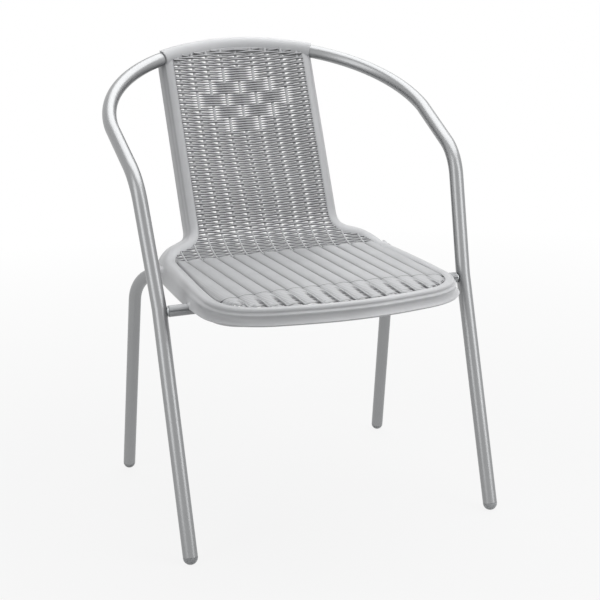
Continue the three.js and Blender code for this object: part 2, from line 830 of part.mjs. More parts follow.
// A pan-head screw: head seated a gap away from the point, shank running on past it
function screw(seat, direction, shankLength) {
  const profile = [
    [0, -screwHeadHeight],
    [screwHeadRadius / 2, -screwHeadHeight],
    [screwHeadRadius, -screwHeadHeight / 2],
    [screwHeadRadius, 0],
    [screwRadius, 0],
    [screwRadius, shankLength - screwRadius],
    [0, shankLength],
  ];
  return toSolid(turned(profile, seat, direction, tubeSides));
}

function flipped(solid) {
  return solid.mirror([1, 0, 0]);
}

function addPair(name, solid, look) {
  addPiece(`${name}_right`, toGeometry(solid), look);
  addPiece(`${name}_left`, toGeometry(flipped(solid)), look);
}

const hoopClearance = clearanceTube(hoopStations(), hoopRadius);
const railClearance = clearanceTube(rearStations(), rearRadius);
addPiece('front_hoop', toGeometry(frontHoop()), 'silver');
addPiece('rear_frame', toGeometry(rearFrame()), 'silver');
addPiece('seat_shell', toGeometry(seatShell(hoopClearance, railClearance)), 'plastic');
addPair('foot_cap_front', footCap(frontCapCentre, frontLegUp, hoopRadius, hoopWall), 'cap');
addPair('foot_cap_rear', footCap(rearCapCentre, rearLegUp, rearRadius, rearWall), 'cap');
addPair('spacer', spacer(railClearance), 'plastic');
addPair('rivet_nut', rivetNut(), 'zinc');
addPair('bolt_washer', boltWasher(), 'zinc');
addPair('side_bolt', sideBolt(), 'zinc');

const seatScrewLength = 2 * rearRadius + 3 * gap + screwBite;
for (const [name, point] of Object.entries(seatScrewPoints)) {
  const seat = along(point, upward, -rearRadius - 2 * gap);
  addPiece(name, toGeometry(screw(seat, upward, seatScrewLength)), 'zinc');
}

const sleeveScrewLength = sleeveWall + hoopWall + screwBite / 2;
const sleeveScrewSeat = along(sleeveScrewPoint, intoBow, -sleeveRadius - gap);
addPair('sleeve_screw', screw(sleeveScrewSeat, intoBow, sleeveScrewLength), 'zinc');

// The origin lies on the floor under the middle of the chair's depth
const frontEdgeY = bendFrontY - frontReach - frontRimWidth;
const rearEdgeY = bowStartY + bowDepth + sleeveRadius;
chair.position.y = -(frontEdgeY + rearEdgeY) / 2;

export default chair;
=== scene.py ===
import math
import bpy
import numpy as np
from mathutils import Matrix


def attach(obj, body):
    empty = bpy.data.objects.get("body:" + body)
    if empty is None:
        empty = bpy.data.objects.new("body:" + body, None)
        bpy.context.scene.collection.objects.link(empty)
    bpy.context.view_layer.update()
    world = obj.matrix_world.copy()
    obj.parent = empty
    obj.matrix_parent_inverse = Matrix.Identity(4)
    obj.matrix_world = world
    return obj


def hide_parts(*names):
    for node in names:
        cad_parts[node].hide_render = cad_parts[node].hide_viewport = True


# Rattan-look stacking armchair: silver tubes that carry one moulded seat and back shell.
# Shapes are worked out in millimetres in the frame's axes and become metres in the mesh.

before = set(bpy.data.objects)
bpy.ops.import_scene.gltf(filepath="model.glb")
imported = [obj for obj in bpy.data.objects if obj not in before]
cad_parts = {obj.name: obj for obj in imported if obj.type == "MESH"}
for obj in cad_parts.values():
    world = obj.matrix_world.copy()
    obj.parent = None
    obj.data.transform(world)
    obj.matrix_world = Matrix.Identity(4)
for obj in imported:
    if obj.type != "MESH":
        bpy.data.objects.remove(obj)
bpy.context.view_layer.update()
print("frame loaded:", len(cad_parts), "CAD nodes")

mmPerMetre = 1000


def smoothStep(t):
    # 3t^2 - 2t^3 between 0 and 1
    t = np.clip(t, 0.0, 1.0)
    return t * t * (3 - 2 * t)


def mix(a, b, share):
    # the value at that share of the way from a to b
    return a + (b - a) * share


def unit(vectors):
    # each vector divided by its length
    return vectors / np.linalg.norm(vectors, axis=-1, keepdims=True)


def mirrored(points):
    # the same points on the other side of the chair's middle plane
    return points * np.array([-1.0, 1.0, 1.0])


def fullTurn(steps):
    # that many angles, evenly round a circle
    return np.linspace(0, 2 * np.pi, steps, endpoint=False)


def gridQuads(rows, columns):
    # quads between neighbouring rings of a grid whose rings are closed
    row, column = np.meshgrid(np.arange(rows - 1), np.arange(columns), indexing="ij")
    following = (column + 1) % columns
    quads = [row * columns + column, row * columns + following,
             (row + 1) * columns + following, (row + 1) * columns + column]
    return np.stack(quads, -1).reshape(-1, 4)


def buildPiece(name, grids, material, nodes, ends="fan", sharp=40, paintedShade=None):
    # grids: (count, rings, points, 3) in mm. Each grid is a row of closed rings. Its ends are closed
    # with a "fan" to their middle, with a "strip" between the two halves of the ring, or the last
    # ring joins the first ("loop"). Where the volume comes out negative, every face is turned round.
    # Edges sharper than the angle sharp, in degrees, stay sharp. The last argument gives each point of the
    # grids its share of painted shade, kept as an attribute.
    if grids.ndim == 3:
        grids = grids[None]
    count, rings, points, _ = grids.shape
    if ends == "loop":
        quads = gridQuads(rings + 1, points) % (rings * points)
    else:
        quads = gridQuads(rings, points)
    vertices = grids.reshape(count, -1, 3)
    triangles = np.zeros((0, 3), int)
    around = np.arange(points)
    last = (rings - 1) * points
    if ends == "fan":
        middles = np.stack([grids[:, 0].mean(1), grids[:, -1].mean(1)], 1)
        vertices = np.concatenate([vertices, middles], 1)
        first, second = rings * points, rings * points + 1
        following = (around + 1) % points
        near = np.stack([following, around, np.full(points, first)], -1)
        far = np.stack([last + around, last + following, np.full(points, second)], -1)
        triangles = np.concatenate([near, far])
    if ends == "strip":
        i = np.arange(points // 2 - 1)
        near = np.stack([i + 1, i, points - 1 - i, points - 2 - i], -1)
        far = last + near[:, ::-1]
        quads = np.concatenate([quads, near, far])
    step = vertices.shape[1]
    shifts = (np.arange(count) * step)[:, None, None]
    quads = (quads[None] + shifts).reshape(-1, 4)
    triangles = (triangles[None] + shifts).reshape(-1, 3)
    vertices = vertices.reshape(-1, 3)
    a, b, c, d = (vertices[quads[:, k]] for k in range(4))
    volume = np.einsum("ij,ij->", np.cross(c - a, d - b), a + b + c + d)
    if volume < 0:
        quads = quads[:, ::-1]
        triangles = triangles[:, ::-1]
    mesh = bpy.data.meshes.new(name)
    mesh.from_pydata((vertices / mmPerMetre).tolist(), [], quads.tolist() + triangles.tolist())
    mesh.validate()
    mesh.shade_smooth()
    mesh.set_sharp_from_angle(angle=math.radians(sharp))
    if paintedShade is not None:
        shares = np.broadcast_to(paintedShade, grids.shape[:-1]).reshape(count, -1)
        shares = np.pad(shares, ((0, 0), (0, step - shares.shape[1]))).ravel().astype(np.float32)
        mesh.attributes.new("paintedShade", "FLOAT", "POINT").data.foreach_set("value", shares)
    mesh.materials.append(material)
    piece = bpy.data.objects.new(name, mesh)
    bpy.context.scene.collection.objects.link(piece)
    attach(piece, "root")
    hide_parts(*nodes)


# Materials

def hexToLinear(code):
    # sRGB hex colour to Blender's linear colour, by the standard curve with its straight foot
    channels = np.array([int(code[i:i + 2], 16) / 255 for i in (1, 3, 5)])
    linear = np.where(channels <= 0.04045, channels / 12.92, ((channels + 0.055) / 1.055) ** 2.4)
    return (*linear.tolist(), 1.0)


def addNode(tree, kind, settings=None, links=None):
    # one node: settings sets attributes or input values, links joins other nodes' outputs to its inputs
    node = tree.nodes.new(kind)
    for key, value in (settings or {}).items():
        if isinstance(key, str) and hasattr(node, key):
            setattr(node, key, value)
        else:
            node.inputs[key].default_value = value
    for key, socket in (links or {}).items():
        tree.links.new(socket, node.inputs[key])
    return node


def newMaterial(name):
    # a material whose node tree is still empty
    material = bpy.data.materials.new(name)
    material.use_nodes = True
    material.node_tree.nodes.clear()
    return material, material.node_tree


firstColour, secondColour, mixedColour = 6, 7, 2  # a Mix node's sockets for colours


def tones(finish):
    # settings of a Mix node that goes from the finish's dark tone to its light one
    return {"data_type": "RGBA", firstColour: hexToLinear(finish["dark"]),
            secondColour: hexToLinear(finish["light"])}


surface = {
    "coarser": 4,  # peel and grain are drawn this many times coarser, or they wouldn't show
    "reliefDepth": 0.0002,  # m
    "cloudSize": 60.0,  # mm, slow drift of the tone
}
cloudScale = mmPerMetre / surface["cloudSize"]
coatFinish = {
    "light": "#999a9b", "dark": "#949596", "metallic": 0.9,
    "roughness": 0.33, "roughnessDrift": 0.02,
    "peelSize": 0.9,  # mm, orange peel of the powder coat
    "peelStrength": 0.006,
}


def powderCoat(finish):
    # mild steel tube, silver powder coat baked on: metal flake under a satin clear skin, so bright
    # long highlights and a faint orange peel
    material, tree = newMaterial("silverPowderCoat")
    place = addNode(tree, "ShaderNodeTexCoord").outputs["Object"]
    peelScale = mmPerMetre / finish["peelSize"] / surface["coarser"]
    peel = addNode(tree, "ShaderNodeTexNoise", {"Scale": peelScale, "Detail": 2.0}, {"Vector": place})
    cloud = addNode(tree, "ShaderNodeTexNoise", {"Scale": cloudScale, "Detail": 3.0}, {"Vector": place})
    tone = addNode(tree, "ShaderNodeMix", tones(finish), {"Factor": cloud.outputs["Fac"]})
    middle, drift = finish["roughness"], finish["roughnessDrift"]
    rough = addNode(tree, "ShaderNodeMapRange", {"To Min": middle - drift, "To Max": middle + drift},
                    {"Value": cloud.outputs["Fac"]})
    depth = {"Strength": finish["peelStrength"], "Distance": surface["reliefDepth"]}
    bump = addNode(tree, "ShaderNodeBump", depth, {"Height": peel.outputs["Fac"]})
    shader = addNode(tree, "ShaderNodeBsdfPrincipled", {"Metallic": finish["metallic"]},
                     {"Base Color": tone.outputs[mixedColour], "Roughness": rough.outputs["Result"],
                      "Normal": bump.outputs["Normal"]})
    addNode(tree, "ShaderNodeOutputMaterial", None, {"Surface": shader.outputs["BSDF"]})
    return material


moulded = {
    "ior": 1.49,  # polypropylene's, near enough to nylon's
    "grainSize": 0.6,  # mm, fine texture of the mould
    "toneFrom": 0.3, "toneTo": 0.7,  # stretch of the cloud noise that turns dark to light
    "smoother": 0.05, "rougher": 0.06,  # how far the grain moves the roughness
}
shellFinish = {"light": "#cdced0", "dark": "#c6c7c9", "roughness": 0.36, "grainStrength": 0.10}
# the weave's last colour is its painted shade, laid into the hollows and under the strands
weaveFinish = {"light": "#c4c5c7", "dark": "#babbbd", "roughness": 0.42, "grainStrength": 0.15,
               "paintedShade": "#3c3d3f"}
capFinish = {"light": "#b4b6b8", "dark": "#a9abad", "roughness": 0.38, "grainStrength": 0.06}
spacerFinish = {"light": "#b9bbbd", "dark": "#a9abad", "roughness": 0.34, "grainStrength": 0.05}


def mouldedPlastic(name, finish):
    # injection-moulded polypropylene or nylon: satin, a very fine mould grain, a slow drift of tone,
    # and on the weave painted shade in its hollows and under its strands
    material, tree = newMaterial(name)
    place = addNode(tree, "ShaderNodeTexCoord").outputs["Object"]
    grainScale = mmPerMetre / moulded["grainSize"] / surface["coarser"]
    grain = addNode(tree, "ShaderNodeTexNoise", {"Scale": grainScale, "Detail": 2.0}, {"Vector": place})
    cloud = addNode(tree, "ShaderNodeTexNoise", {"Scale": cloudScale, "Detail": 4.0}, {"Vector": place})
    stretch = {"From Min": moulded["toneFrom"], "From Max": moulded["toneTo"]}
    soft = addNode(tree, "ShaderNodeMapRange", stretch, {"Value": cloud.outputs["Fac"]})
    tone = addNode(tree, "ShaderNodeMix", tones(finish), {"Factor": soft.outputs["Result"]})
    colour = tone.outputs[mixedColour]
    if "paintedShade" in finish:
        # painted shade: a point attribute blends the colour towards the finish's dark shade colour
        paintedShade = addNode(tree, "ShaderNodeAttribute", {"attribute_name": "paintedShade"})
        shade = {"data_type": "RGBA", secondColour: hexToLinear(finish["paintedShade"])}
        shadeMix = addNode(tree, "ShaderNodeMix", shade, {"Factor": paintedShade.outputs["Fac"], firstColour: colour})
        colour = shadeMix.outputs[mixedColour]
    sheen = {"To Min": finish["roughness"] - moulded["smoother"],
             "To Max": finish["roughness"] + moulded["rougher"]}
    rough = addNode(tree, "ShaderNodeMapRange", sheen, {"Value": grain.outputs["Fac"]})
    depth = {"Strength": finish["grainStrength"], "Distance": surface["reliefDepth"]}
    bump = addNode(tree, "ShaderNodeBump", depth, {"Height": grain.outputs["Fac"]})
    shader = addNode(tree, "ShaderNodeBsdfPrincipled", {"Metallic": 0.0, "IOR": moulded["ior"]},
                     {"Base Color": colour, "Roughness": rough.outputs["Result"],
                      "Normal": bump.outputs["Normal"]})
    addNode(tree, "ShaderNodeOutputMaterial", None, {"Surface": shader.outputs["BSDF"]})
    return material


zincFinish = {
    "light": "#c9ccce", "dark": "#b4b7b8", "smooth": 0.22, "rough": 0.4,
    "blotchSize": 2.5,  # mm
}


def zincPlate(finish):
    # zinc-plated steel: bright, with a slightly blotchy passivation that moves tone and sheen
    material, tree = newMaterial("zincPlatedSteel")
    place = addNode(tree, "ShaderNodeTexCoord").outputs["Object"]
    blotchScale = mmPerMetre / finish["blotchSize"]
    blotch = addNode(tree, "ShaderNodeTexNoise", {"Scale": blotchScale, "Detail": 4.0}, {"Vector": place})
    tone = addNode(tree, "ShaderNodeMix", tones(finish), {"Factor": blotch.outputs["Fac"]})
    rough = addNode(tree, "ShaderNodeMapRange", {"To Min": finish["smooth"], "To Max": finish["rough"]},
                    {"Value": blotch.outputs["Fac"]})
    shader = addNode(tree, "ShaderNodeBsdfPrincipled", {"Metallic": 1.0},
                     {"Base Color": tone.outputs[mixedColour], "Roughness": rough.outputs["Result"]})
    addNode(tree, "ShaderNodeOutputMaterial", None, {"Surface": shader.outputs["BSDF"]})
    return material


silver = powderCoat(coatFinish)
shellPlastic = mouldedPlastic("greyPolypropylene", shellFinish)
wovenPlastic = mouldedPlastic("texturedPolypropylene", weaveFinish)
capPlastic = mouldedPlastic("greyNylonCap", capFinish)
spacerPlastic = mouldedPlastic("greyNylonSpacer", spacerFinish)
zinc = zincPlate(zincFinish)
print("materials made")


# Shell surface: seat plane, round bend, leaning back. x runs across it, and v along it: v is zero
# where the bend begins, negative on the seat and positive up the back.

shell = {
    "seatHeight": 385.0, "backCornerY": 115.8, "leanDegrees": 21.9, "bendRadius": 85.0,
    "midSag": 20.0, "topSag": 15.0, "sideDrop": 8.0, "wall": 3.0,
    "topHeight": 391.3, "topBow": 14.5, "topCornerRadius": 9.0, "backHalfWidth": 112.7,
    "waistHeight": 59.3, "waistRadius": 33.0,
    "hipHalfWidth": 168.7, "hipHeight": 39.2, "hipRadius": 25.0,
    "seatHalfWidth": 179.0, "bulgeShare": 0.6, "bulgeRoundShare": 0.4,
    "frontCornerHalfWidth": 178.5, "frontCornerReach": 275.8, "frontCornerRoundShare": 0.56,
    "frontBow": 44.7, "frontRimWidth": 21.6, "frontFall": 4.2, "fallFrom": 225.0,
}
backAngle = math.radians(90 - shell["leanDegrees"])
bendLength = shell["bendRadius"] * backAngle
bendFrontY = shell["backCornerY"] - shell["bendRadius"] * math.tan(backAngle / 2)
frontReach = shell["frontCornerReach"] + shell["frontBow"]
waistTop = shell["waistHeight"] + shell["waistRadius"]
topEndX = shell["backHalfWidth"] - shell["topCornerRadius"]

hoop = {
    "radius": 11.0, "foot": (244.0, -205.0, 0.0), "kink": (245.7, -106.1, 361.0), "kinkRadius": 60.0,
    "knee": (256.6, -56.8, 542.8), "kneeRadius": 80.0, "bowHalfWidth": 260.6, "bowStartY": 61.4,
    "bowRise": 104.5, "crownBehindShell": 28.4, "crownBelowShell": 0.6,
    "kinkSteps": 10, "kneeSteps": 24, "bowSteps": 60,
}
sleeve = {"outer": 13.8, "inner": 11.3, "halfWidth": 131.0, "slotFront": 5.0, "slotBack": 8.0}


def rise(x, v):
    # height off the plain profile: a parabola across the width hollows the back, the front edge falls
    # by a smooth step, and the seat's sides by the way forward times the fourth power of the way out
    across = np.minimum(1, np.abs(x) / shell["backHalfWidth"])
    half = shell["topHeight"] / 2
    grows = smoothStep((v - bendLength) / (half - bendLength / 2))
    fades = smoothStep((v - half) / half)
    sag = grows * mix(shell["midSag"], shell["topSag"], fades) * (1 - across ** 2)
    side = np.minimum(1, np.abs(x) / shell["seatHalfWidth"])
    fall = shell["frontFall"] * smoothStep((-v - shell["fallFrom"]) / (frontReach - shell["fallFrom"]))
    return -sag - fall - shell["sideDrop"] * np.maximum(0, -v / frontReach) * side ** 4


def profile(v):
    # side view of the shell's middle: flat seat, round bend, straight back; returns y, z and the angle
    radius = shell["bendRadius"]
    angle = np.clip(v / radius, 0, backAngle)
    straight = v - angle * radius
    y = bendFrontY + radius * np.sin(angle) + straight * np.cos(angle)
    z = shell["seatHeight"] + radius * (1 - np.cos(angle)) + straight * np.sin(angle)
    return y, z, angle


shellTopY, shellTopZ, _ = profile(shell["topHeight"])
bowDepth = shellTopY + hoop["crownBehindShell"] - hoop["bowStartY"]
crownZ = shellTopZ - hoop["crownBelowShell"]
frontEdgeY = bendFrontY - frontReach - shell["frontRimWidth"]
rearEdgeY = hoop["bowStartY"] + bowDepth + sleeve["outer"]
middleY = (frontEdgeY + rearEdgeY) / 2  # the frame's origin lies under the middle of the depth


def shellPoint(x, v, h):
    # a place x across and v along the surface, raised by h along its normal
    y, z, angle = profile(v)
    lift = h + rise(x, v)
    place = np.broadcast_arrays(x, y - lift * np.sin(angle) - middleY, z + lift * np.cos(angle))
    return np.stack(place, -1)


# Outline of the woven field

fieldOutline = {
    "spacing": 2.6, "topSamples": 40, "frontSamples": 60,
    "samePoint": 1e-6,  # mm; closer points count as one
}


def topEdgeAt(x):
    # the top edge's v: a parabola that is highest in the middle
    return shell["topHeight"] - shell["topBow"] * (x / shell["backHalfWidth"]) ** 2


def frontEdgeAt(x):
    # the front edge's v: a parabola that reaches furthest in the middle
    return -frontReach + shell["frontBow"] * (x / shell["frontCornerHalfWidth"]) ** 2


def cornerPoints(before, corner, after, reach, end=None, steps=24):
    # quadratic curve drawn towards a corner, from the given reach before it to that reach past it
    before, corner, after = (np.asarray(p, float) for p in (before, corner, after))
    start = corner + unit(before - corner) * reach
    if end is None:
        end = corner + unit(after - corner) * reach
    t = np.linspace(0, 1, steps)[:, None]
    return start * (1 - t) ** 2 + 2 * corner * t * (1 - t) + end * t ** 2


def halfOutline():
    # right half from top centre to front centre: the two edges and the rounded corners between them,
    # as points an even distance apart
    topCorner = (shell["backHalfWidth"], shell["topHeight"] - shell["topBow"])
    waistCorner = (shell["backHalfWidth"], shell["waistHeight"])
    hipCorner = (shell["hipHalfWidth"], shell["hipHeight"])
    bulge = (shell["seatHalfWidth"], -shell["bulgeShare"] * shell["frontCornerReach"])
    frontCorner = (shell["frontCornerHalfWidth"], -shell["frontCornerReach"])
    sideLength = math.dist(bulge, frontCorner)
    bulgeRound = shell["bulgeRoundShare"] * sideLength
    frontRound = shell["frontCornerRoundShare"] * sideLength
    edgeX = np.linspace(0, topEndX, fieldOutline["topSamples"])
    topEdge = np.stack([edgeX, topEdgeAt(edgeX)], -1)
    topCurve = cornerPoints(topEdge[-1], topCorner, waistCorner, shell["topCornerRadius"])
    topCurve[0] = topEdge[-1]
    frontX = np.linspace(frontCorner[0] - frontRound, 0, fieldOutline["frontSamples"])
    frontEdge = np.stack([frontX, frontEdgeAt(frontX)], -1)
    line = np.concatenate([
        topEdge, topCurve,
        cornerPoints(topCorner, waistCorner, hipCorner, shell["waistRadius"]),
        cornerPoints(waistCorner, hipCorner, bulge, shell["hipRadius"]),
        cornerPoints(hipCorner, bulge, frontCorner, bulgeRound),
        cornerPoints(bulge, frontCorner, frontEdge[0], frontRound, frontEdge[0]),
        frontEdge,
    ])
    steps = np.linalg.norm(np.diff(line, axis=0), axis=1)
    line = line[np.concatenate([[True], steps > fieldOutline["samePoint"]])]
    length = np.concatenate([[0], np.cumsum(np.linalg.norm(np.diff(line, axis=0), axis=1))])
    at = np.linspace(0, length[-1], int(length[-1] / fieldOutline["spacing"]))
    return np.stack([np.interp(at, length, line[:, k]) for k in range(2)], -1)


outlineHalf = halfOutline()
outlineLoop = np.concatenate([outlineHalf, outlineHalf[-2:0:-1] * [-1, 1]])


def halfWidth(v):
    # half width of the woven field at v, read off its outline in straight lines
    falling = outlineHalf[::-1]
    return np.interp(v, falling[:, 1], falling[:, 0])


# Rim

rim = {
    # section from the woven field outwards, (out, rise) in mm, ten points each
    "side": [(0, -0.6), (2.5, 0.9), (6, 2.0), (10, 2.2), (14.5, 0.8),
             (18.5, -3), (21, -7.5), (23.3, -12.8), (26.2, -19), (29.4, -24.6)],
    "front": [(0, -0.6), (3.5, 0.9), (7.5, 1.4), (11.6, 0.4), (14, -2.6),
              (12.4, -5.8), (17.4, -8.0), (14.4, -12.4), (16, -17.4), (20.8, -21.4)],
    "back": [(0, -0.6), (2, 0.8), (5, 0.9), (9, 0.6), (14, -1),
             (15.5, -3.5), (16.3, -5), (18.5, -6.5), (20, -10), (20.8, -27)],
    "top": [(0, -0.4), (1.5, 0.3), (3, 0.2), (4.5, -0.4), (5.5, -1),
            (6.5, -1.8), (7.3, -2.5), (8, -3.2), (8.8, -4), (9.5, -5)],
    "topBlend": 24.0,  # mm across, over which the top section takes over
    "frontFrom": 262.0,  # mm forward of the bend, where the front section is complete
    "cutRounds": 2,  # rounds of corner cutting that smooth the section
    "evenOver": 9,  # outline points over which the outward direction is evened
    "notchGap": 0.6,  # air between the skirt's notches and the bars in them
}


def cutCorners(points, rounds):
    # each corner is replaced by points a quarter of the way along its two sides; ends stay
    for _ in range(rounds):
        near = mix(points[..., :-1, :], points[..., 1:, :], 0.25)
        far = mix(points[..., :-1, :], points[..., 1:, :], 0.75)
        middle = np.stack([near, far], -2).reshape(*points.shape[:-2], -1, 2)
        points = np.concatenate([points[..., :1, :], middle, points[..., -1:, :]], -2)
    return points


def evenly(values, window):
    # running mean round a closed row of values
    kernel = np.ones(window) / window
    padded = np.concatenate([values[-window:], values, values[:window]])
    smoothed = np.stack([np.convolve(padded[:, k], kernel, "same") for k in range(values.shape[1])], -1)
    return smoothed[window:-window]


def rimSection(border):
    # the section at each border point: side becomes front with the square of the way forward, then
    # back above the hips and top near the middle of the top edge take over by smooth steps
    v, x = border[:, 1], np.abs(border[:, 0])
    front = np.clip(-v / rim["frontFrom"], 0, 1) ** 2
    back = smoothStep((v - shell["hipHeight"]) / (waistTop - shell["hipHeight"]))
    nearTop = v > shell["topHeight"] - shell["topBow"] - shell["topCornerRadius"]
    top = smoothStep(np.where(nearTop, (topEndX - x) / rim["topBlend"], 0))
    section = np.array(rim["side"], float)[None]
    for key, share in (("front", front), ("back", back), ("top", top)):
        section = mix(section, np.array(rim[key], float)[None], share[:, None, None])
    return cutCorners(section, rim["cutRounds"])


def rimSurface():
    # the section's outer skin and, one wall inside it, its inner skin, carried round the outline
    border = outlineLoop
    before, after = np.roll(border, 1, 0), np.roll(border, -1, 0)
    outward = unit(np.stack([before[:, 1] - after[:, 1], after[:, 0] - before[:, 0]], -1))
    outward = unit(evenly(outward, rim["evenOver"]))
    outer = rimSection(border)
    along = np.gradient(outer, axis=1)
    normal = unit(np.stack([-along[..., 1], along[..., 0]], -1))
    inner = outer - normal * shell["wall"]
    inner[:, 0] = outer[:, 0] - [0, shell["wall"]]
    ring = np.concatenate([outer, inner[:, ::-1]], 1)
    place = border[:, None] + outward[:, None] * ring[..., :1]
    edgeRise = rise(border[:, :1], border[:, 1:]) - rise(place[..., 0], place[..., 1])
    return shellPoint(place[..., 0], place[..., 1], ring[..., 1] + edgeRise)


def archOver(points, start, end, radius):
    # lifts the skirt's points under and beside a bar to an arch over it, as a notch open below; the
    # arch ends just inside the seat's wall
    flat = (end - start)[:2]
    length = np.linalg.norm(flat)
    along = (points[..., :2] - start[:2]) @ flat / length ** 2
    across = np.abs((points[..., 0] - start[0]) * flat[1] - (points[..., 1] - start[1]) * flat[0]) / length
    axisZ = mix(start[2], end[2], along)
    arch = axisZ + np.sqrt(np.maximum(0, radius ** 2 - across ** 2))
    arch = np.minimum(arch, shell["seatHeight"] - shell["wall"] + rim["notchGap"])
    under = (across < radius) & (along > 0) & (along < 1) & (points[..., 2] < arch)
    points[..., 2] = np.where(under, arch, points[..., 2])
    return points


# Tubes

rear = {
    "radius": 10.0, "foot": (234.6, 220.3, 0.0), "corner": (223.7, 120.5, 380.3), "bendRadius": 66.0,
    "joggle": (177.0, 58.0, 364.0), "joggleRadius": 50.0, "boltX": 177.0, "boltZ": 355.4,
    "crossBarY": -190.0, "crossBendRadius": 45.0,
    "facingFrom": -145.0,  # the only y here that is the frame's already
    "bendSteps": 24, "joggleSteps": 12, "crossSteps": 20,
}
spacer = {
    "radius": 8.5, "flutes": 4, "fluteWidth": 2.6, "fluteDepth": 3.0, "fluteLead": 0.5, "fluteEdge": 0.8,
    "turn": -0.15, "flange": 1.0, "chamfer": 0.8, "saddleBevel": 0.5, "sides": 96,
}
capFlatDepth = 0.6  # mm of the foot cap's dome that the floor has taken off
clearance = 0.3  # mm between neighbouring pieces


def shifted(point):
    # from the y that the photo's fit gave to the frame's: less middleY
    return np.asarray(point, float) - [0, middleY, 0]


def bendPoints(before, corner, after, radius, steps):
    # round bend at a corner between two straights: an arc turned evenly from one to the other
    back, ahead = unit(before - corner), unit(after - corner)
    half = math.acos(float(np.clip(back @ ahead, -1, 1))) / 2
    centre = corner + unit(back + ahead) * radius / math.sin(half)
    start = corner + back * radius / math.tan(half) - centre
    end = corner + ahead * radius / math.tan(half) - centre
    sweep = math.acos(float(np.clip(unit(start) @ unit(end), -1, 1)))
    t = np.linspace(0, 1, steps)[:, None]
    return centre + (start * np.sin(sweep * (1 - t)) + end * np.sin(sweep * t)) / math.sin(sweep)


def bowPoint(angle):
    # half an ellipse seen from above, which falls from its crown with one minus the cosine
    return np.stack([hoop["bowHalfWidth"] * np.sin(angle),
                     hoop["bowStartY"] + bowDepth * np.cos(angle) - middleY,
                     crownZ - hoop["bowRise"] * (1 - np.cos(angle))], -1)


def footCentre(foot, upward, radius):
    # centre of the foot cap's dome, so high up the leg that the floor takes off its flat
    return foot + upward * (radius - capFlatDepth) / upward[2]


hoopFoot, kink, knee = shifted(hoop["foot"]), shifted(hoop["kink"]), shifted(hoop["knee"])
hoopUp = unit(kink - hoopFoot)
hoopCap = footCentre(hoopFoot, hoopUp, hoop["radius"])
bowHalf = bowPoint(np.linspace(math.pi / 2, 0, hoop["bowSteps"]))
kneeBend = bendPoints(kink, knee, bowHalf[0], hoop["kneeRadius"], hoop["kneeSteps"])
kinkBend = bendPoints(hoopFoot, kink, kneeBend[0], hoop["kinkRadius"], hoop["kinkSteps"])
hoopHalf = np.concatenate([[hoopCap + hoopUp * clearance], kinkBend, kneeBend, bowHalf[1:]])
hoopRoute = np.concatenate([hoopHalf, mirrored(hoopHalf[-2::-1])])

rearFoot, rearCorner, joggle = shifted(rear["foot"]), shifted(rear["corner"]), shifted(rear["joggle"])
rearUp = unit(rearCorner - rearFoot)
rearCap = footCentre(rearFoot, rearUp, rear["radius"])
boltAxis = hoopFoot + hoopUp * rear["boltZ"] / hoopUp[2]
railBolt = np.array([rear["boltX"], boltAxis[1], rear["boltZ"]])


def railAt(y):
    # the place at y on the straight line through the joggle and the bolt
    return mix(joggle, railBolt, (joggle[1] - y) / (joggle[1] - railBolt[1]))


crossCorner = railAt(rear["crossBarY"] - middleY)
rearHalf = np.concatenate([
    [rearCap + rearUp * clearance],
    bendPoints(rearFoot, rearCorner, joggle, rear["bendRadius"], rear["bendSteps"]),
    bendPoints(rearCorner, joggle, railBolt, rear["joggleRadius"], rear["joggleSteps"]),
    bendPoints(joggle, crossCorner, mirrored(crossCorner), rear["crossBendRadius"], rear["crossSteps"]),
])
rearRoute = np.concatenate([rearHalf, mirrored(rearHalf[::-1])])


def tubeSurface(route, radius, facing, sides=40):
    # circle of the tube's radius carried along its route, turned towards the facing directions
    forward = unit(np.gradient(route, axis=0))
    side = unit(facing - (facing * forward).sum(1, keepdims=True) * forward)
    above = np.cross(forward, side)
    angle = fullTurn(sides)
    circle = np.cos(angle)[:, None] * side[:, None] + np.sin(angle)[:, None] * above[:, None]
    return route[:, None] + radius * circle


def towardsOutside(route, y):
    # level directions away from the middle plane, with the given y
    return np.stack([route[:, 0], y, np.zeros(len(route))], -1)


hoopFacing = towardsOutside(hoopRoute, np.maximum(0, hoopRoute[:, 1] - hoop["bowStartY"] + middleY))
rearFacing = towardsOutside(rearRoute, np.minimum(0, rearRoute[:, 1] - rear["facingFrom"]))
buildPiece("frontHoop", tubeSurface(hoopRoute, hoop["radius"], hoopFacing), silver, ["front_hoop"])
buildPiece("rearFrame", tubeSurface(rearRoute, rear["radius"], rearFacing), silver, ["rear_frame"])
print("tubes made")

rimPoints = rimSurface()
for side in (1, -1):
    flip = np.array([side, 1, 1])
    rimPoints = archOver(rimPoints, rearCorner * flip, joggle * flip, rear["radius"] + rim["notchGap"])
    rimPoints = archOver(rimPoints, boltAxis * flip, railBolt * flip, spacer["radius"] + rim["notchGap"])
buildPiece("shellRim", rimPoints, shellPlastic, ["seat_shell"], ends="loop")
print("rim made")


# Weave: open rows on the back and hips, the closed part of the seat, and open rows along the front

